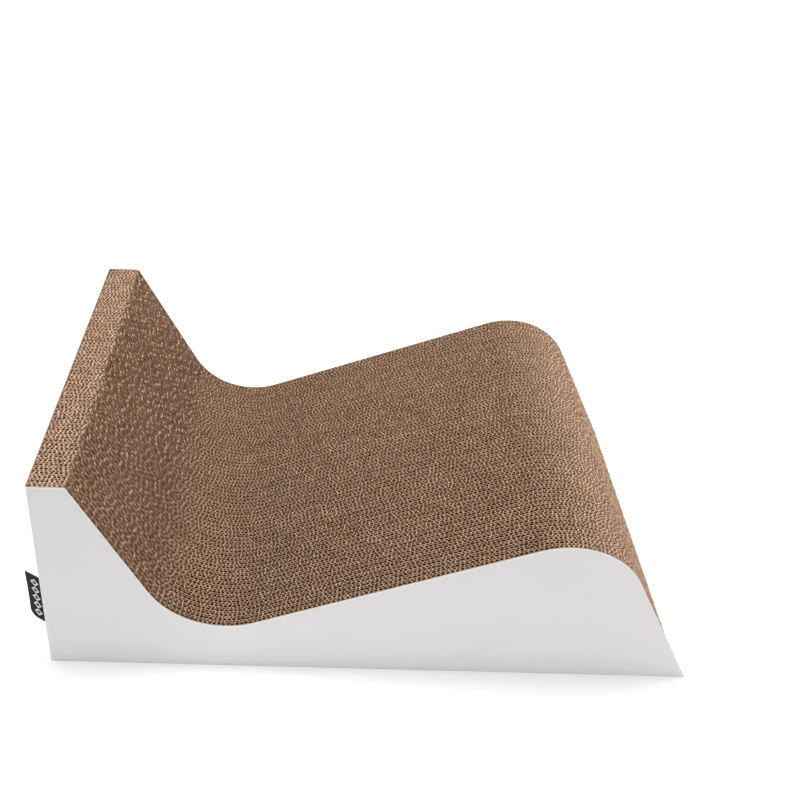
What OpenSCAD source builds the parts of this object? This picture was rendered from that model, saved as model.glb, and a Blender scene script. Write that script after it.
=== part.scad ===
// Lounge-shaped cat scratcher: upright double-wall cardboard boards glued face to face,
// held in a coated board wrap that covers both sides and the tall end.
// +X runs from the tall backrest end to the low end, +Y across the boards, +Z up.
// The origin is the middle of the footprint, on the floor.

/* [Block] */
// Overall length along the floor
length = 567; // [500:1:640]
// Overall width across the boards, wrap included
width = 361; // [300:1:420]
// Height of the backrest
height = 202; // [180:1:230]
// Length of the flat band on top of the backrest
band_length = 32; // [20:1:45]

/* [Lounging surface] */
// Distance from the tall end to the corner under the seat hollow
seat_from_end = 122; // [105:1:140]
// Height of that corner above the floor, before it is rounded
seat_height = 31; // [20:1:45]
// Radius of the seat hollow
seat_radius = 73; // [50:1:85]
// Distance from the tall end to the corner over the hump
hump_from_end = 480; // [450:1:490]
// Height of that corner above the floor, before it is rounded
hump_height = 172; // [160:1:180]
// Radius of the hump
hump_radius = 72; // [40:1:80]

/* [Boards] */
// Number of boards side by side
board_count = 69; // [61:2:75]
// Glue line between neighbouring boards, and between boards and wrap
glue_line = 0.1; // [0.05:0.05:0.3]

/* [Wrap] */
// Thickness of the coated board of the wrap
wrap_t = 1; // [0.6:0.1:1.6]
// Outer radius of the wrap where it folds round the two end corners
fold_radius = 2.5; // [2:0.5:8]
// How far the near panel's toe runs past the boards
toe_overhang = 4.5; // [0:0.5:8]

/* [Label] */
// Height of the folded textile label
label_height = 53; // [30:1:60]
// How far the label reaches out of its slit
label_reach = 21; // [14:1:25]
// Thickness of the label, two layers of tape
label_t = 0.8; // [0.5:0.1:1.2]
// Height of the label's lower edge above the floor
label_from_floor = 35; // [20:1:100]
// Distance of the label's slit from the near side
label_from_side = 10; // [9:0.5:20]
// Angle at which the label leans away from the near side
label_lean = 30; // [0:1:45]
// Radius of the label's lower outer corner
label_corner = 9; // [4:1:11]
// Gap round the label in its slit
slit_clearance = 0.3; // [0.1:0.1:0.6]

/* [Hidden] */
$fn = 96;
boards_per_node = 2;
node_count = ceil(board_count / boards_per_node);
cut_over = wrap_t;
// How far each arc runs past the straights beside it, so that they cross and never just touch
arc_over = 0.02;

end_x = -length / 2;
near_y = -width / 2;
block_x = end_x + wrap_t + glue_line;
block_width = width - 2 * (wrap_t + glue_line);
board_pitch = (block_width + glue_line) / board_count;
board_t = board_pitch - glue_line;
fold_inner = fold_radius - wrap_t;
board_corner = fold_inner - glue_line;
slit_t = (label_t + 2 * slit_clearance) / cos(label_lean);
label_y = near_y + label_from_side;

// Corners of the side outline, x from the tall end and z from the floor
band_edge = [band_length, height];
seat_corner = [seat_from_end, seat_height];
hump_corner = [hump_from_end, hump_height];

// A fillet of radius r at corner c between the ways to points a and b
function unit(v) = v / norm(v);
function half_angle(a, c, b) = acos(unit(a - c) * unit(b - c)) / 2;
function fillet_run(a, c, b, r) = r / tan(half_angle(a, c, b));
function fillet_start(a, c, b, r) = c + unit(a - c) * fillet_run(a, c, b, r);
function fillet_end(a, c, b, r) = c + unit(b - c) * fillet_run(a, c, b, r);
function fillet_centre(a, c, b, r) =
    c + unit(unit(a - c) + unit(b - c)) * r / sin(half_angle(a, c, b));

seat_start = fillet_start(band_edge, seat_corner, hump_corner, seat_radius);
seat_end = fillet_end(band_edge, seat_corner, hump_corner, seat_radius);
seat_centre = fillet_centre(band_edge, seat_corner, hump_corner, seat_radius);

function two_digits(n) = str(n < 10 ? "0" : "", n);
function boards_name(i) = str("boards_", two_digits(i + 1));

// Side outline from x = start to the toe, with true arcs in the hollow and on the hump
module outline(start, toe) {
    low_end = [toe, 0];
    hump_start = fillet_start(seat_corner, hump_corner, low_end, hump_radius);
    hump_end = fillet_end(seat_corner, hump_corner, low_end, hump_radius);
    hump_centre = fillet_centre(seat_corner, hump_corner, low_end, hump_radius);
    over_hump = hump_corner + unit(hump_corner - hump_centre) * cut_over;
    difference() {
        polygon([[start, 0], [start, height], band_edge, seat_start, seat_centre, seat_end,
                 hump_corner, low_end]);
        translate(seat_centre) circle(r = seat_radius + arc_over);
        difference() {
            polygon([hump_start, over_hump, hump_end]);
            translate(hump_centre) circle(r = hump_radius + arc_over);
        }
    }
}

// The outline as an upright plate of thickness t whose near face is at y
module plate(start, y, t, toe = length) {
    translate([end_x, y + t, 0])
        rotate([90, 0, 0])
            linear_extrude(height = t) outline(start, toe);
}

// The plan of the block, with its two end corners rounded to sit inside the folds
module block_plan() {
    side = block_width / 2 - board_corner;
    translate([block_x + board_corner, -block_width / 2]) square([length, block_width]);
    translate([block_x, -side]) square([length, 2 * side]);
    for (s = [-1, 1]) translate([block_x + board_corner, s * side]) circle(r = board_corner);
}

// One board, counted from the near side
module board(i) {
    y = -block_width / 2 + i * board_pitch;
    from_side = min(i, board_count - 1 - i) * board_pitch;
    if (from_side < board_corner)
        intersection() {
            plate(wrap_t + glue_line, y, board_t);
            linear_extrude(height = height) block_plan();
        }
    else
        plate(wrap_t + glue_line, y, board_t);
}

module boards(n) {
    first = n * boards_per_node;
    last = min(first + boards_per_node, board_count) - 1;
    color("burlywood") for (i = [first:last]) board(i);
}

// The quarter ring of the wrap round one end corner, s = -1 on the near side
module fold(s) {
    centre_y = s * (width / 2 - fold_radius);
    low_y = s < 0 ? near_y : centre_y;
    intersection() {
        translate([end_x + fold_radius, centre_y, 0])
            difference() {
                cylinder(r = fold_radius, h = height);
                translate([0, 0, -cut_over]) cylinder(r = fold_inner, h = height + 2 * cut_over);
            }
        translate([end_x, low_y, 0]) cube([fold_radius, fold_radius, height]);
    }
}

module side_wrap() {
    color("whitesmoke")
        difference() {
            union() {
                plate(fold_radius, near_y, wrap_t, length + toe_overhang);
                plate(fold_radius, width / 2 - wrap_t, wrap_t);
                translate([end_x, near_y + fold_radius, 0])
                    cube([wrap_t, width - 2 * fold_radius, height]);
                fold(-1);
                fold(1);
            }
            translate([end_x - cut_over, label_y - slit_t / 2, label_from_floor - slit_clearance])
                cube([wrap_t + 2 * cut_over, slit_t, label_height + 2 * slit_clearance]);
        }
}

// The label's face, standing on its root edge, with its lower outer corner rounded
module label_face() {
    root = wrap_t / cos(label_lean);
    reach = root + label_reach;
    translate([0, label_corner]) square([reach, label_height - label_corner]);
    square([reach - label_corner, label_height]);
    translate([reach - label_corner, label_corner]) circle(r = label_corner);
}

module label() {
    color("dimgray")
        intersection() {
            translate([end_x + wrap_t, label_y, label_from_floor])
                rotate([0, 0, 180 - label_lean])
                    translate([0, label_t / 2, 0])
                        rotate([90, 0, 0])
                            linear_extrude(height = label_t) label_face();
            translate([end_x + wrap_t - length, near_y, 0]) cube([length, width, height]);
        }
}

side_wrap();
label();
for (i = [0:node_count - 1])
    boards(i);
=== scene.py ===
import math
from collections import namedtuple

import bpy
import numpy as np
from mathutils import Matrix, Vector


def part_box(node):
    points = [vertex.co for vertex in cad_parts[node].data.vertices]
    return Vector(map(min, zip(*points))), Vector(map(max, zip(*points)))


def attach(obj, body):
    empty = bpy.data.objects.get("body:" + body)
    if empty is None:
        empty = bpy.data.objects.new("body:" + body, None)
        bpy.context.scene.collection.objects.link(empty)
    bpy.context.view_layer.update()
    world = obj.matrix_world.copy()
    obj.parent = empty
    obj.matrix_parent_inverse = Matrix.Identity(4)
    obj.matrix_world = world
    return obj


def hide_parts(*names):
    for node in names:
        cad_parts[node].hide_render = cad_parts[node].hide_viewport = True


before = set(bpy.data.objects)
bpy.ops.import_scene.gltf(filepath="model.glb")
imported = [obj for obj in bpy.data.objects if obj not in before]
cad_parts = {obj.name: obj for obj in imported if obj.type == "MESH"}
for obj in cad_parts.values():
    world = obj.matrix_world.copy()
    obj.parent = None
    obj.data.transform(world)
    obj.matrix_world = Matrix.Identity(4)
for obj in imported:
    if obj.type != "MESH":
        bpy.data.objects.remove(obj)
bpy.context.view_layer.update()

# The looks of a lounge-shaped cat scratcher: every upright board with its liners and its two
# wavy layers, the coated wrap with bare cut edges, and the folded label. Lengths are in
# millimetres, unless a comment says metres.
MM = 0.001
# To read an outline: places this close are one place, and a corner is on the cut where it is
# higher than the second length or no further than the third from the toe
TOUCH = 0.01
CUT_FROM = 1.0
TOE_REACH = 0.5

# The kinds of paper in a double-wall board. For each: its thickness, how wide its cut frays, how
# far that cut lies below the wavy layers' cut, which the knife pulls up, and how far it leans
Paper = namedtuple("Paper", "thick fray sink lean")
OUTER_LINER = Paper(0.14, 0.1, 0.06, 0.03)
INNER_LINER = Paper(0.2, 0.1, 0.06, 0.15)
MEDIUM = Paper(0.22, 1.0, 0.0, 0.15)
# The wide flute is on the near side, and takes this share of the room between the liners
C_PITCH = 7.95
B_PITCH = 6.45
C_SHARE = 0.58
# One flute in plan, as shares of its pitch: close steps over each wall, long ones over each crest
WALL_STEPS = (0, 0.04, 0.08, 0.13, 0.19, 0.31, 0.37, 0.42, 0.46)
WALL_STEEPNESS = 2.6
# How far a flute drifts from its even place, and over what length it does so
PITCH_DRIFT = 0.35
PITCH_RUN = 30.0
# A liner's points lie this far apart, and all paper stops this far inside the block's ends
LINER_STEP = 5.0
END_GAP = 0.3
# A board's random draws start from this number plus the board's own
FIRST_SEED = 1000

# Levels below the cut: the lip, where the pale fibres end, and where the light ends; the colour
# takes painted shade from the lip down, a share at the lip and fully where the light ends. Where a
# board is low, they keep at least a share of its height.
LIP_DEPTH = 0.6
LIP_SHARE = 0.7
LIP_SHADE = 0.38
DARK_DEPTH = 1.7
DARK_SHARE = 0.4
# The cut: the least height it keeps, how far it dips, over what length it leans one way and
# back, and how unevenly it frays
LEAST_HEIGHT = 0.4
UNEVEN = 0.25
LEAN_RUN = 6.0
FRAY_SPREAD = (0.1, 1.9)
# The flat band's cut is more frayed than the rest, and paler
BAND_FRAY = 1.75
BAND_TONE = 0.44
# How much of the inner shade the cut takes: on a glued crest, and in smudges
CREST_SHADE = 0.35
SMUDGE = 0.35
# Paper tone: each board's own, the level, and how it changes over long and short runs
BOARD_SHADE = 0.08
TONE = 0.24
TONE_DRIFT = 0.4
DRIFT_RUN = 25.0
TONE_GRAIN = 0.8
GRAIN_RUN = 2.5
# On the low end, from this slope downwards, the cut frays wider and its tone is more even, and
# painted light makes the paper paler there and its cells less shaded
STEEP_FROM = 0.3
STEEP_FRAY = 0.6
STEEP_PAINTED_LIGHT = 0.4
STEEP_SHADE_LOSS = 0.8
STEEP_EVEN = 0.6
# The edge of the backrest's flat band is crushed: it drops, and the cells beside it get less of the
# painted shade. The nearest board's cells get less painted shade all along the band.
EDGE_REACH = 2.2
EDGE_DROP = 0.4
EDGE_SHADE = 0.45
# Kraft paper at its palest, at its darkest, and in the painted shade of the cells
LINER_COLOURS = ((0.53, 0.358, 0.246), (0.33, 0.203, 0.126), (0.10, 0.037, 0.016))
MEDIUM_COLOURS = ((0.53, 0.358, 0.248), (0.345, 0.213, 0.133), (0.10, 0.037, 0.016))

# The wrap: its thickness, the steps in each fold, how far apart its other points are, and up to
# which angle in degrees an edge is shaded smooth
WRAP_T = 1.0
FOLD_STEPS = 10
WRAP_STEP = 8.0
SOFT_ANGLE = 40
# Its cut rim: how far in and how far down the outer edge is rounded, and how far down the painted
# cream highlight along it shows. Where the wrap is low, a share of its height takes over.
RIM_ROUND = 0.5
RIM_LEAN = 0.1
RIM_DROP = 0.4
RIM_DROP_SHARE = 0.1
RIM_HIGHLIGHT = 1.3
RIM_HIGHLIGHT_SHARE = 0.3
# The wrap's materials: coated outer face, cut edge and inner face
WHITE, EDGE, BACK = range(3)

# The label: two layers of woven tape folded at the free edge, in a slit of the wrap
TAPE_T = 0.32
TAPE_GAP = 0.16
# The tape's points along each layer, up it, and round its fold from one angle to its opposite
TAPE_STEPS = 22
TAPE_ROWS = 25
TAPE_TURN = 75
TAPE_TURN_STEPS = 7
# The label's rounded lower corner, how far it leans in degrees, how much it bulges, the room in
# its slit, and the weave's pitch
LABEL_CORNER = 9.0
LABEL_LEAN = 30.0
LABEL_CURL = 0.5
SLIT_GAP = 0.3
THREAD_PITCH = 0.7
# Its chain of diamonds, up from the lower edge and out from the slit
DIAMOND_PITCH = 9.0
DIAMOND_COUNT = 5
DIAMOND_START = 4.0
DIAMOND_MIDDLE = 12.0
DIAMOND_HALF = 5.0
# Where a diamond's line runs between its middle and its corners, and half that line's width
DIAMOND_LINE = 0.72
DIAMOND_LINE_HALF = 0.28

# Camera of the photograph, in millimetres and degrees, and its shift in shares of the picture
CAMERA_PLACE = (-56.7, -812.6, 755.2)
CAMERA_YAW = 1.47
CAMERA_PITCH = 31.19
CAMERA_ROLL = 2.67
SENSOR = 36.0
LENS = 46.62
CAMERA_SHIFT = (0.0769, -0.1079)

# The floor's half width, and how far it lies below the object
FLOOR_HALF = 12000.0
FLOOR_DROP = 0.1
# The floor glows for the camera: not under the object, least beside it, and fully far off. The
# two distances from the middle are in metres.
GLOW_INSET = 0.5
GLOW_FROM = 0.5
GLOW_FULL = 1.5
GLOW_LEAST = 0.2
# How strongly the white world lights the object
WORLD_LIGHT = 0.52
# Lamps, in metres and watts: name, place, the place it faces, width and height, power
LAMPS = (
    ("overhead", (-0.15, 0.14, 1.2), (-0.1, 0, 0.1), (1.1, 0.8), 18),
    ("left_softbox", (-2.1, 0.1, 0.8), (0, 0, 0.1), (1.2, 1.2), 6.5),
    ("right_softbox", (2.0, 0.2, 0.9), (0, 0, 0.1), (1.2, 1.2), 10),
    ("front_fill", (1.0, -2.2, 0.45), (0, 0, 0.1), (1.4, 1.0), 11),
)


def set_up_view():
    scene = bpy.context.scene
    scene.view_settings.view_transform = "Standard"
    yaw = math.radians(CAMERA_YAW)
    pitch = math.radians(CAMERA_PITCH)
    roll = math.radians(CAMERA_ROLL)
    forward = Vector((math.sin(yaw) * math.cos(pitch), math.cos(yaw) * math.cos(pitch), -math.sin(pitch)))
    level = Vector((math.cos(yaw), -math.sin(yaw), 0))
    up = level.cross(forward)
    right = level * math.cos(roll) + up * math.sin(roll)
    up = right.cross(forward)
    turn = Matrix((right, up, -forward)).transposed().to_4x4()
    data = bpy.data.cameras.new("photo_camera")
    data.sensor_width = SENSOR
    data.lens = LENS
    data.shift_x, data.shift_y = CAMERA_SHIFT
    camera = bpy.data.objects.new("photo_camera", data)
    camera.matrix_world = Matrix.Translation(Vector(CAMERA_PLACE) * MM) @ turn
    scene.collection.objects.link(camera)
    scene.camera = camera


class Nodes:
    """A material's node tree, with short calls to add and join nodes."""

    def __init__(self, name):
        self.material = bpy.data.materials.new(name)
        self.material.use_nodes = True
        self.tree = self.material.node_tree
        self.shader = self.tree.nodes["Principled BSDF"]

    def add(self, kind, inputs=(), **settings):
        node = self.tree.nodes.new(kind)
        for key, value in settings.items():
            setattr(node, key, value)
        for key, value in dict(inputs).items():
            self.put(node.inputs[key], value)
        return node

    def put(self, socket, value):
        """Give a socket what it takes: another node's output, a colour or a number."""
        if isinstance(value, bpy.types.NodeSocket):
            self.tree.links.new(value, socket)
        elif socket.type == "RGBA":
            socket.default_value = (*value, 1.0)
        else:
            socket.default_value = value

    def place(self):
        """The place of the point that is shaded, in metres."""
        return self.add("ShaderNodeTexCoord").outputs["Object"]

    def value(self, name):
        """A value that the mesh holds for each of its points."""
        return self.add("ShaderNodeAttribute", attribute_name=name).outputs["Fac"]

    def noise(self, place, scale, detail, rough=0.5):
        node = self.add("ShaderNodeTexNoise", {"Vector": place, "Scale": scale, "Detail": detail,
                                               "Roughness": rough})
        return node.outputs["Fac"]

    def fibres(self, place, scales, detail, rough):
        """Noise with its own scale along each axis."""
        stretched = self.add("ShaderNodeMapping", {"Vector": place, "Scale": scales}).outputs[0]
        return self.noise(stretched, 1.0, detail, rough)

    def span(self, value, low, high, to_low=0.0, to_high=1.0):
        node = self.add("ShaderNodeMapRange", {"Value": value, "From Min": low, "From Max": high,
                                               "To Min": to_low, "To Max": to_high})
        return node.outputs["Result"]

    def math(self, operation, a, b=0.0):
        node = self.add("ShaderNodeMath", operation=operation)
        self.put(node.inputs[0], a)
        self.put(node.inputs[1], b)
        return node.outputs[0]

    def times(self, a, b):
        return self.math("MULTIPLY", a, b)

    def plus(self, a, b):
        return self.math("ADD", a, b)

    def minus(self, a, b):
        return self.math("SUBTRACT", a, b)

    def over(self, a, b):
        return self.math("DIVIDE", a, b)

    def absolute(self, a):
        return self.math("ABSOLUTE", a)

    def mix(self, share, a, b):
        node = self.add("ShaderNodeMix", data_type="RGBA")
        self.put(node.inputs["Factor"], share)
        self.put(node.inputs["A"], a)
        self.put(node.inputs["B"], b)
        return node.outputs["Result"]

    def bump(self, height, strength, distance):
        """Fine relief in the shading, with its distance in metres."""
        node = self.add("ShaderNodeBump", {"Height": height, "Strength": strength, "Distance": distance})
        return node.outputs["Normal"]

    def finish(self, colour, roughness, normal, specular):
        """Fill in the shader and hand over the material."""
        self.put(self.shader.inputs["Base Color"], colour)
        self.put(self.shader.inputs["Roughness"], roughness)
        self.put(self.shader.inputs["Normal"], normal)
        self.shader.inputs["Specular IOR Level"].default_value = specular
        return self.material


def kraft_material(name, pale, dark, shade_colour):
    """Raw kraft paper: fibres along the machine direction, specks, and a tone that drifts.

    The frayed cut is pale, and below it a painted shade darkens the paper."""
    n = Nodes(name)
    place = n.place()
    fibres = n.fibres(place, (400.0, 900.0, 1600.0), detail=3.0, rough=0.6)
    cloud = n.noise(place, scale=28.0, detail=3.0)
    specks = n.noise(place, scale=1500.0, detail=1.0)
    share = n.plus(n.times(fibres, 0.45), n.times(cloud, 0.35))
    share = n.plus(share, n.times(n.value("tone"), 0.6))
    colour = n.mix(n.span(share, 0.25, 1.05), dark, pale)
    # Painted shade: below the cut the colour goes over to the shade colour
    colour = n.mix(n.value("shade_and_smudge"), colour, shade_colour)
    colour = n.mix(n.span(specks, 0.66, 0.76), colour, tuple(c * 0.6 for c in dark))
    rough = n.span(fibres, 0.3, 0.7, 0.82, 0.95)
    return n.finish(colour, rough, n.bump(fibres, 0.25, 0.0002), specular=0.1)


def coated_material():
    """White coated paper, faintly mottled, with a painted cream highlight along the cut rim."""
    n = Nodes("coated_paper")
    place = n.place()
    mottle = n.noise(place, scale=9.0, detail=4.0, rough=0.55)
    grain = n.noise(place, scale=900.0, detail=2.0)
    highlight_band = n.span(n.noise(place, scale=500.0, detail=3.0), 0.35, 0.6)
    white = n.mix(n.span(mottle, 0.3, 0.7), (0.715, 0.70, 0.705), (0.735, 0.722, 0.722))
    # Painted highlight: a cream band along the cut rim, in patches
    edge = n.times(n.span(n.value("rim"), 0.1, 0.5), n.span(highlight_band, 0.0, 1.0, 0.7, 1.0))
    colour = n.mix(edge, white, (0.93, 0.87, 0.80))
    rough = n.span(n.plus(grain, mottle), 0.7, 1.3, 0.42, 0.56)
    relief = n.plus(grain, n.times(mottle, 2.0))
    return n.finish(colour, rough, n.bump(relief, 0.06, 0.0003), specular=0.35)


def pulp_material(name, light, dark):
    """Grey recycled pulp, as the wrap's cut edge and its inner face show it."""
    n = Nodes(name)
    place = n.place()
    plies = n.fibres(place, (500.0, 500.0, 1600.0), detail=4.0, rough=0.65)
    specks = n.noise(place, scale=1400.0, detail=1.0)
    colour = n.mix(n.span(plies, 0.3, 0.7), dark, light)
    colour = n.mix(n.span(specks, 0.62, 0.72), colour, dark)
    rough = n.span(plies, 0.3, 0.7, 0.85, 0.96)
    return n.finish(colour, rough, n.bump(plies, 0.4, 0.0002), specular=0.2)


def label_material():
    """Black woven tape with a plain chain of pale diamonds along its middle."""
    n = Nodes("label_tape")
    place = n.add("ShaderNodeUVMap", uv_map="tape").outputs[0]
    tape = n.add("ShaderNodeSeparateXYZ", {"Vector": place})
    across, up = tape.outputs["X"], tape.outputs["Y"]
    warp = n.math("SINE", n.times(across, 2 * math.pi / THREAD_PITCH))
    weft = n.math("SINE", n.times(up, 2 * math.pi / THREAD_PITCH))
    weave = n.span(n.times(warp, weft), -1.0, 1.0)
    fuzz = n.noise(place, scale=0.8, detail=3.0)
    ground = n.mix(n.times(n.plus(weave, fuzz), 0.5), (0.004, 0.004, 0.005), (0.02, 0.02, 0.022))
    run = n.over(n.minus(up, DIAMOND_START), DIAMOND_PITCH)
    inside = n.times(n.math("GREATER_THAN", run, 0.0), n.math("LESS_THAN", run, DIAMOND_COUNT))
    from_middle = n.absolute(n.minus(n.math("FRACT", run), 0.5))
    aside = n.over(n.absolute(n.minus(across, DIAMOND_MIDDLE)), DIAMOND_HALF)
    spread = n.plus(n.times(from_middle, 2.0), aside)
    line = n.minus(1.0, n.absolute(n.over(n.minus(spread, DIAMOND_LINE), DIAMOND_LINE_HALF)))
    thread = n.span(n.plus(line, n.times(weave, 0.3)), 0.15, 0.4)
    thread = n.times(thread, inside)
    pale = n.mix(weave, (0.6, 0.6, 0.59), (0.8, 0.8, 0.78))
    rough = n.span(weave, 0.0, 1.0, 0.62, 0.8)
    relief = n.bump(n.plus(weave, thread), 0.5, 0.0002)
    return n.finish(n.mix(thread, ground, pale), rough, relief, specular=0.12)


def mesh_object(name, points, quads, materials, slots=None, soft_angle=0):
    """A mesh object from arrays of points in millimetres and of four-cornered faces."""
    mesh = bpy.data.meshes.new(name)
    mesh.vertices.add(len(points))
    mesh.vertices.foreach_set("co", (points * MM).astype(np.float32).ravel())
    mesh.loops.add(quads.size)
    mesh.loops.foreach_set("vertex_index", quads.astype(np.int32).ravel())
    mesh.polygons.add(len(quads))
    mesh.polygons.foreach_set("loop_start", np.arange(0, quads.size, 4, dtype=np.int32))
    for material in materials:
        mesh.materials.append(material)
    if slots is not None:
        mesh.polygons.foreach_set("material_index", slots.astype(np.int32))
    mesh.update(calc_edges=True)
    mesh.validate()
    if soft_angle:
        mesh.set_sharp_from_angle(angle=math.radians(soft_angle))
    else:
        mesh.shade_flat()
    thing = bpy.data.objects.new(name, mesh)
    bpy.context.scene.collection.objects.link(thing)
    return thing


def give_points(thing, name, values):
    """Keep one value for each point of a mesh, for its material."""
    held = thing.data.attributes.new(name, "FLOAT", "POINT")
    held.data.foreach_set("value", values.astype(np.float32))


def box(node):
    """The low and the high corner of a node's box, in millimetres."""
    return [np.array(corner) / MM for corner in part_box(node)]


def outline(node, near_y=None):
    """The height of a node's cut over x, in millimetres, from its own corners in the frame."""
    corners = np.array([v.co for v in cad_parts[node].data.vertices]) / MM
    if near_y is not None:
        corners = corners[np.abs(corners[:, 1] - near_y) < TOUCH]
    corners = np.unique(np.round(corners[:, [0, 2]], 3), axis=0)
    toe = corners[:, 0].max()
    cut = corners[(corners[:, 1] > CUT_FROM) | (corners[:, 0] > toe - TOE_REACH)]
    return cut[np.argsort(cut[:, 0], kind="stable")]


def cut_height(cut, x):
    return np.interp(x, cut[:, 0], cut[:, 1])


def band_end(cut):
    """The x at which the backrest's flat band ends."""
    return cut[cut[:, 1] > cut[:, 1].max() - TOUCH, 0].max()


def board_places():
    """Each board's node and the y of its near and far face, in millimetres."""
    nodes = sorted(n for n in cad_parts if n.startswith("boards_"))
    low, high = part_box(nodes[-1])
    thick = (high.y - low.y) / MM
    places = []
    for node in nodes:
        low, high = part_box(node)
        count = round((high.y - low.y) / MM / thick)
        step = ((high.y - low.y) / MM - thick) / max(count - 1, 1)
        for k in range(count):
            near = low.y / MM + k * step
            places.append((node, near, near + thick))
    return places


def drift(rng, x, run):
    """A smooth random course along x between -1 and 1 that changes over about that run."""
    knots = np.arange(x.min() - run, x.max() + 2 * run, run)
    return np.interp(x, knots, rng.uniform(-1, 1, len(knots)))


def paper(rng, kind, x, y, free, cut, nearest_board):
    """One sheet of paper on edge, a path in plan cut off at the outline: its points, its faces,
    and each point's tone, and its painted shade and smudges.

    Each place along the path has a near and a far point on four levels: the floor, where the
    light ends, the lip and the cut."""
    along = np.stack([np.gradient(x), np.gradient(y)], 1)
    along /= np.linalg.norm(along, axis=1)[:, None]
    side = np.stack([-along[:, 1], along[:, 0]], 1)
    on_band = x < band_end(cut)
    crushed = np.clip(1 - np.abs(x - band_end(cut)) / EDGE_REACH, 0, 1)
    top = cut_height(cut, x) - kind.sink - UNEVEN * rng.random(len(x)) ** 2 - EDGE_DROP * crushed ** 2
    top = np.maximum(top, LEAST_HEIGHT)
    slope = (cut_height(cut, x + 1) - cut_height(cut, x - 1)) / 2
    # The steep low end, where painted light makes the paper paler and its cells less shaded
    steep_end = np.clip(STEEP_FROM - slope, 0, 1) * (x > 0)
    lip = np.maximum(top - LIP_DEPTH, LIP_SHARE * top)
    dark = np.maximum(top - DARK_DEPTH, DARK_SHARE * top)
    lean = kind.lean * drift(rng, x, LEAN_RUN)
    fray = kind.fray * free * rng.uniform(*FRAY_SPREAD, len(x))
    fray = fray * (1 + STEEP_FRAY * steep_end)
    fray[on_band] *= BAND_FRAY
    rings = []
    for height, wide, shift in ((0 * top, kind.thick, 0), (dark, kind.thick, 0), (lip, kind.thick, 0),
                                (top, kind.thick + fray, lean)):
        for way in (-0.5, 0.5):
            px = x + side[:, 0] * wide * way
            py = y + side[:, 1] * wide * way + shift
            rings.append(np.stack([px, py, height], 1))
    tone = TONE_DRIFT * drift(rng, x, DRIFT_RUN) + TONE_GRAIN * drift(rng, x, GRAIN_RUN)
    tone = tone * (1 - STEEP_EVEN * steep_end)
    # Painted light: the steep low end is painted paler
    tone += TONE + BAND_TONE * on_band + STEEP_PAINTED_LIGHT * steep_end
    # Painted shade in the cells: full where the light ends, a share at the lip, and on the cut a little
    # at glued crests and in random smudges
    shade_and_smudge = np.ones((len(x), len(rings)))
    lip_rings, cut_rings = slice(4, 6), slice(6, 8)
    shade_and_smudge[:, lip_rings] = LIP_SHADE
    shade_and_smudge[:, cut_rings] = CREST_SHADE * (1 - free[:, None]) + SMUDGE * rng.random((len(x), 1)) ** 3
    # Less painted shade by the crushed edge, and on the nearest board all along the band; less on the
    # steep low end too, under its painted light
    if nearest_board:
        crushed = np.maximum(crushed, on_band)
    shade_and_smudge *= (1 - (1 - EDGE_SHADE) * crushed[:, None]) * (1 - STEEP_SHADE_LOSS * steep_end[:, None])
    points = np.stack(rings, 1).reshape(-1, 3)
    return points, paper_faces(len(x), len(rings)), np.repeat(tone, len(rings)), shade_and_smudge.ravel()


def paper_faces(places, size):
    """The faces of a sheet with so many places of so many points: its sides, cut, foot and ends."""
    near = [(low, size + low, size + low + 2, low + 2) for low in (0, 2, 4)]
    far = [(size + low, low, low + 2, size + low + 2) for low in (1, 3, 5)]
    cut = (6, size + 6, size + 7, 7)
    foot = (size, 0, 1, size + 1)
    start = np.arange(places - 1) * size
    quads = [start[:, None] + np.array(strip) for strip in (*near, *far, cut, foot)]
    last = (places - 1) * size
    for low in (0, 2, 4):
        quads.append(np.array([(low, low + 2, low + 3, low + 1)]))
        quads.append(np.array([(last + low + 1, last + low + 3, last + low + 2, last + low)]))
    return np.concatenate(quads)


def flute_path(rng, low_x, high_x, centre, reach, pitch):
    """A wavy layer in plan: steep walls between flattened crests, starting anywhere.

    It gives x, y and how free the paper stands: 0 on a crest, glued to a liner, and 1 midway."""
    flute = np.array([half + step for half in (0, 0.5) for step in WALL_STEPS])
    turns = (np.arange(-1, (high_x - low_x) // pitch + 2)[:, None] + flute).ravel()
    x = low_x + (turns - rng.random()) * pitch
    wave = np.tanh(WALL_STEEPNESS * np.sin(2 * math.pi * turns)) / math.tanh(WALL_STEEPNESS)
    x = x + PITCH_DRIFT * drift(rng, x, PITCH_RUN)
    y = centre + reach * wave
    inside = (x > low_x) & (x < high_x)
    free = 1 - np.abs(wave)
    ends = np.array([low_x, high_x])
    return [np.insert(np.interp(ends, x, v), 1, v[inside]) for v in (x, y, free)]


def rounded_start(low_x, y, block, corner):
    """Where paper at y begins: the block's two end corners are rounded to fit the folds."""
    inset = min(y - block[0], block[1] - y)
    if inset >= corner:
        return low_x
    return low_x + corner - math.sqrt(corner ** 2 - (corner - inset) ** 2)


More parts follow.
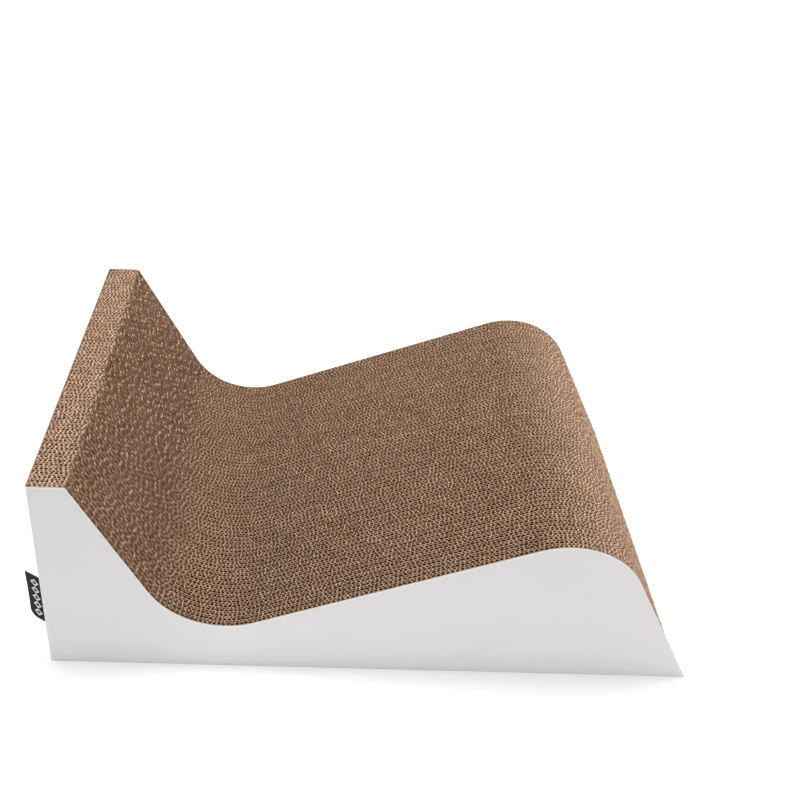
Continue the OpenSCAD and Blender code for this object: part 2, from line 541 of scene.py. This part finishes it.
def make_board(index, node, near, far, cut, block, corner, materials):
    """One board: three liners, and between them the wide flute and the narrow one."""
    rng = np.random.default_rng(FIRST_SEED + index)
    nearest_board = index == 0
    low_x, high_x = cut[:, 0].min(), cut[:, 0].max() - END_GAP
    inside = far - near - 2 * OUTER_LINER.thick - INNER_LINER.thick
    c_gap = inside * C_SHARE
    b_gap = inside - c_gap
    c_start = near + OUTER_LINER.thick
    b_start = c_start + c_gap + INNER_LINER.thick
    sheets = []
    for kind, y in ((OUTER_LINER, near + OUTER_LINER.thick / 2),
                    (INNER_LINER, b_start - INNER_LINER.thick / 2),
                    (OUTER_LINER, far - OUTER_LINER.thick / 2)):
        start = rounded_start(low_x, y, block, corner) + END_GAP
        x = np.append(np.arange(start, high_x, LINER_STEP), high_x)
        sheets.append((0, paper(rng, kind, x, np.full(len(x), y), np.ones(len(x)), cut, nearest_board)))
    for gap, centre, pitch in ((c_gap, c_start + c_gap / 2, C_PITCH),
                               (b_gap, b_start + b_gap / 2, B_PITCH)):
        reach = (gap - MEDIUM.thick) / 2
        outer_y = centre + (reach if centre > 0 else -reach)
        start = rounded_start(low_x, outer_y, block, corner) + END_GAP
        x, y, free = flute_path(rng, start, high_x, centre, reach, pitch)
        sheets.append((1, paper(rng, MEDIUM, x, y, free, cut, nearest_board)))
    points, quads, tones, shades_and_smudges, slots, base = [], [], [], [], [], 0
    for slot, (corners, faces, tone, shade_and_smudge) in sheets:
        points.append(corners)
        quads.append(faces + base)
        tones.append(tone)
        shades_and_smudges.append(shade_and_smudge)
        slots.append(np.full(len(faces), slot))
        base += len(corners)
    board = mesh_object(f"board_{index + 1:02d}", np.concatenate(points), np.concatenate(quads),
                        materials, np.concatenate(slots))
    give_points(board, "tone", np.concatenate(tones) + BOARD_SHADE * rng.uniform(-1, 1))
    # Each point's painted shade and smudges, for the material
    give_points(board, "shade_and_smudge", np.concatenate(shades_and_smudges))
    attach(board, "root")
    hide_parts(node)


def make_boards():
    """All boards. At the tall end the block's two corners are rounded, to fit the wrap's folds."""
    liner = kraft_material("kraft_liner", *LINER_COLOURS)
    medium = kraft_material("kraft_medium", *MEDIUM_COLOURS)
    cut = outline("boards_02")
    places = board_places()
    block = (places[0][1], places[-1][2])
    corner = outline("boards_01", block[0])[0, 0] - cut[0, 0]
    for index, (node, near, far) in enumerate(places):
        make_board(index, node, near, far, cut, block, corner, (liner, medium))


def wrap_path():
    """The wrap's outer face in plan, from the near toe round the tall end to the far toe.

    It gives for each place x, y, the way outwards and the height of the cut."""
    low, high = box("side_wrap")
    near, far = outline("side_wrap", low[1]), outline("side_wrap", high[1])
    fold_x = near[0, 0]
    radius = fold_x - low[0]

    def side(cut, y, way):
        x = np.union1d(np.arange(fold_x, cut[:, 0].max(), WRAP_STEP), cut[cut[:, 0] > fold_x, 0])
        return [(px, y, 0, way, height) for px, height in zip(x, cut_height(cut, x))]

    def fold(centre_y, start):
        for k in range(FOLD_STEPS + 1):
            turn = math.radians(start - 90 * k / FOLD_STEPS)
            out = (math.cos(turn), math.sin(turn))
            yield (fold_x + radius * out[0], centre_y + radius * out[1], *out, high[2])

    slit = label_slit()
    end_y = sorted([*np.arange(slit[1] + WRAP_STEP, high[1] - radius, WRAP_STEP), *slit[:2]])
    return np.array([
        *reversed(side(near, low[1], -1)[1:]),
        *fold(low[1] + radius, 270),
        *((low[0], y, -1, 0, high[2]) for y in end_y),
        *fold(high[1] - radius, 180),
        *side(far, high[1], 1)[1:],
    ])


def label_thickness():
    return 2 * TAPE_T + TAPE_GAP


def label_slit():
    """The slit in the wrap's end, in millimetres: its sides in y and its lower and upper end."""
    low, high = box("label")
    lean = math.radians(LABEL_LEAN)
    thick = label_thickness()
    root_y = low[1] + thick / 2 * math.cos(lean) + WRAP_T * math.tan(lean)
    half = (thick / 2 + SLIT_GAP) / math.cos(lean)
    return root_y - half, root_y + half, low[2] - SLIT_GAP, high[2] + SLIT_GAP


def make_wrap():
    """One sheet of coated board: white outside, grey pulp on its cut edges, with the label's slit."""
    path = wrap_path()
    x, y, out_x, out_y, top = path.T
    slit = label_slit()
    # How far down the painted rim highlight reaches
    highlight_band = np.minimum(RIM_HIGHLIGHT, RIM_HIGHLIGHT_SHARE * top)
    bend = np.minimum(RIM_DROP, RIM_DROP_SHARE * top)
    slit_low, slit_high = (top * height / top.max() for height in slit[2:])
    # Each level: how far in from the outer face, its height, how much of the rim's painted highlight it
    # shows, and the material from there to the next level
    levels = [(0, 0 * top, 0, WHITE), (0, slit_low, 0, WHITE), (0, slit_high, 0, WHITE),
              (0, top - highlight_band, 0, WHITE), (0, top - bend, 1, WHITE),
              (RIM_LEAN, top - 0.5 * bend, 1, EDGE), (RIM_ROUND, top, 1, EDGE),
              (WRAP_T - RIM_LEAN, top, 0, EDGE), (WRAP_T, top - 0.25 * bend, 0, BACK),
              (WRAP_T, slit_high, 0, BACK), (WRAP_T, slit_low, 0, BACK), (WRAP_T, 0 * top, 0, EDGE)]
    outer_low, outer_high, inner_high, inner_low = 1, 2, 9, 10
    size = len(levels)
    rings = [np.stack([x - out_x * inset, y - out_y * inset, height], 1)
             for inset, height, highlight_share, slot in levels]
    points = np.stack(rings, 1).reshape(-1, 3)
    quads, slots = [], []
    for k in range(len(path) - 1):
        a, b = k * size, (k + 1) * size
        in_slit = abs(y[k] - slit[0]) < TOUCH and out_x[k] == -1
        for level in range(size):
            after = (level + 1) % size
            if in_slit and level in (outer_low, inner_high):
                continue
            quads.append((a + level, b + level, b + after, a + after))
            slots.append(levels[level][3])
        if in_slit:
            quads.append((a + outer_low, a + outer_high, a + inner_high, a + inner_low))
            quads.append((b + outer_high, b + outer_low, b + inner_low, b + inner_high))
            quads.append((b + outer_low, a + outer_low, a + inner_low, b + inner_low))
            quads.append((a + outer_high, b + outer_high, b + inner_high, a + inner_high))
            slots.extend([EDGE] * 4)
    for first, flip in ((0, 1), ((len(path) - 1) * size, -1)):
        for low in range(size // 2 - 1):
            high = size - 1 - low
            ends = (first + low, first + low + 1, first + high - 1, first + high)
            quads.append(ends[::flip])
            slots.append(EDGE)
    materials = (coated_material(), pulp_material("pulp_edge", (0.34, 0.31, 0.265), (0.18, 0.165, 0.14)),
                 pulp_material("pulp_back", (0.36, 0.33, 0.29), (0.24, 0.215, 0.185)))
    wrap = mesh_object("side_wrap_board", points, np.array(quads), materials, np.array(slots), SOFT_ANGLE)
    # Each point's share of the painted rim highlight
    give_points(wrap, "rim", np.tile([level[2] for level in levels], len(path)))
    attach(wrap, "root")
    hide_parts("side_wrap")


def tape_path(reach):
    """The folded tape's middle line: its run out from the slit, and aside from its own middle."""
    thick = label_thickness()
    bend = (thick - TAPE_T) / 2
    straight = np.linspace(0, reach - thick / 2, TAPE_STEPS)
    turns = np.radians(np.linspace(TAPE_TURN, -TAPE_TURN, TAPE_TURN_STEPS))
    out = np.concatenate([straight, reach - thick / 2 + bend * np.cos(turns), straight[::-1]])
    aside = np.concatenate([np.full(TAPE_STEPS, bend), bend * np.sin(turns), np.full(TAPE_STEPS, -bend)])
    return out, aside


def make_label():
    """A folded tape: a hairpin in plan that leans out of the slit, its lower free corner rounded."""
    low, high = box("label")
    lean = math.radians(LABEL_LEAN)
    out_way = np.array([-math.cos(lean), math.sin(lean)])
    aside_way = np.array([out_way[1], -out_way[0]])
    wrap_back = box("side_wrap")[0][0] + WRAP_T
    slit = label_slit()
    root = np.array([wrap_back, (slit[0] + slit[1]) / 2])
    reach = (root[0] - low[0] - label_thickness() / 2 * math.sin(lean)) / math.cos(lean)
    tall = high[2] - low[2]
    out, aside = tape_path(reach)
    rise = np.linspace(0, 1, TAPE_ROWS)
    past = np.maximum(out - (reach - LABEL_CORNER), 0)
    bottom = LABEL_CORNER - np.sqrt(np.maximum(LABEL_CORNER ** 2 - past ** 2, 0))
    along = np.stack([np.gradient(out), np.gradient(aside)], 1)
    along /= np.linalg.norm(along, axis=1)[:, None]
    height = bottom[:, None] + (tall - bottom[:, None]) * rise
    points, spots = [], []
    for face in (0.5, -0.5):
        face_out = (out - along[:, 1] * TAPE_T * face)[:, None]
        face_aside = (aside + along[:, 0] * TAPE_T * face)[:, None]
        curl = LABEL_CURL * (face_out / reach) ** 2 * np.sin(math.pi * height / tall)
        px = root[0] + out_way[0] * face_out + aside_way[0] * (face_aside + curl)
        py = root[1] + out_way[1] * face_out + aside_way[1] * (face_aside + curl)
        px = np.minimum(px, wrap_back)
        points.append(np.stack([px, py, low[2] + height], -1).reshape(-1, 3))
        spots.append(np.stack([np.repeat(face_out, TAPE_ROWS, 1), height], -1).reshape(-1, 2))
    quads = tape_faces(len(out), TAPE_ROWS)
    label = mesh_object("label_tape", np.concatenate(points), quads, (label_material(),),
                        soft_angle=SOFT_ANGLE)
    corners = np.empty(len(label.data.loops), np.int32)
    label.data.loops.foreach_get("vertex_index", corners)
    tape = label.data.uv_layers.new(name="tape")
    tape.data.foreach_set("uv", np.concatenate(spots)[corners].astype(np.float32).ravel())
    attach(label, "root")
    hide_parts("label")


def tape_faces(cols, rows):
    """The faces of two grids of points, the tape's two faces, joined round all four sides."""
    back = cols * rows
    quads = []
    for i in range(cols - 1):
        for j in range(rows - 1):
            a, b = i * rows + j, (i + 1) * rows + j
            quads.append((a, a + 1, b + 1, b))
            quads.append((back + a, back + b, back + b + 1, back + a + 1))
        for j, flip in ((0, 1), (rows - 1, -1)):
            a, b = i * rows + j, (i + 1) * rows + j
            quads.append((a, b, back + b, back + a)[::flip])
    for i, flip in ((0, 1), (cols - 1, -1)):
        for j in range(rows - 1):
            a = i * rows + j
            quads.append((a, back + a, back + a + 1, a + 1)[::flip])
    return np.array(quads)


def area_light(name, place, aim, size, power):
    data = bpy.data.lights.new(name, "AREA")
    data.shape = "RECTANGLE"
    data.size, data.size_y = size
    data.energy = power
    lamp = bpy.data.objects.new(name, data)
    lamp.location = place
    lamp.rotation_euler = (Vector(aim) - Vector(place)).to_track_quat("-Z", "Y").to_euler()
    lamp.visible_camera = False
    bpy.context.scene.collection.objects.link(lamp)


def floor_material():
    """A pale floor that the camera sees glow, so that it is white, and that keeps the shadow."""
    n = Nodes("pale_floor")
    n.shader.inputs["Roughness"].default_value = 0.9
    n.put(n.shader.inputs["Base Color"], (0.8, 0.8, 0.8))
    n.put(n.shader.inputs["Emission Color"], (1.0, 1.0, 1.0))
    path = n.add("ShaderNodeLightPath").outputs
    seen = n.math("MAXIMUM", path["Is Glossy Ray"], path["Is Transmission Ray"])
    seen = n.math("MAXIMUM", path["Is Camera Ray"], seen)
    place = n.place()
    away = n.add("ShaderNodeVectorMath", {0: place}, operation="LENGTH").outputs["Value"]
    apart = n.add("ShaderNodeSeparateXYZ", {"Vector": place}).outputs
    half_x, half_y = (-box("side_wrap")[0][:2] - GLOW_INSET) * MM
    past_x = n.over(n.absolute(apart["X"]), half_x)
    past_y = n.over(n.absolute(apart["Y"]), half_y)
    beside = n.math("GREATER_THAN", n.math("MAXIMUM", past_x, past_y), 1.0)
    seen = n.times(seen, beside)
    glow = n.span(away, GLOW_FROM, GLOW_FULL, GLOW_LEAST, 1.0)
    n.put(n.shader.inputs["Emission Strength"], n.times(seen, glow))
    return n.material


def make_floor():
    corners = [(-1, -1), (1, -1), (1, 1), (-1, 1)]
    points = np.array([(x * FLOOR_HALF, y * FLOOR_HALF, -FLOOR_DROP) for x, y in corners])
    floor = mesh_object("floor", points, np.array([[0, 1, 2, 3]]), (floor_material(),))


def make_world():
    """White all round: soft light for the object, and full white for the camera."""
    world = bpy.data.worlds.new("studio")
    bpy.context.scene.world = world
    world.use_nodes = True
    tree = world.node_tree
    back = tree.nodes["Background"]
    path = tree.nodes.new("ShaderNodeLightPath").outputs
    seen = tree.nodes.new("ShaderNodeMath")
    seen.operation = "MAXIMUM"
    tree.links.new(path["Is Camera Ray"], seen.inputs[0])
    tree.links.new(path["Is Transmission Ray"], seen.inputs[1])
    level = tree.nodes.new("ShaderNodeMapRange")
    level.inputs["To Min"].default_value = WORLD_LIGHT
    level.inputs["To Max"].default_value = 1.0
    tree.links.new(seen.outputs[0], level.inputs["Value"])
    tree.links.new(level.outputs["Result"], back.inputs["Strength"])
    back.inputs["Color"].default_value = (1, 1, 1, 1)


def make_studio():
    make_floor()
    make_world()
    for lamp in LAMPS:
        area_light(*lamp)


set_up_view()
make_boards()
make_wrap()
make_label()
make_studio()
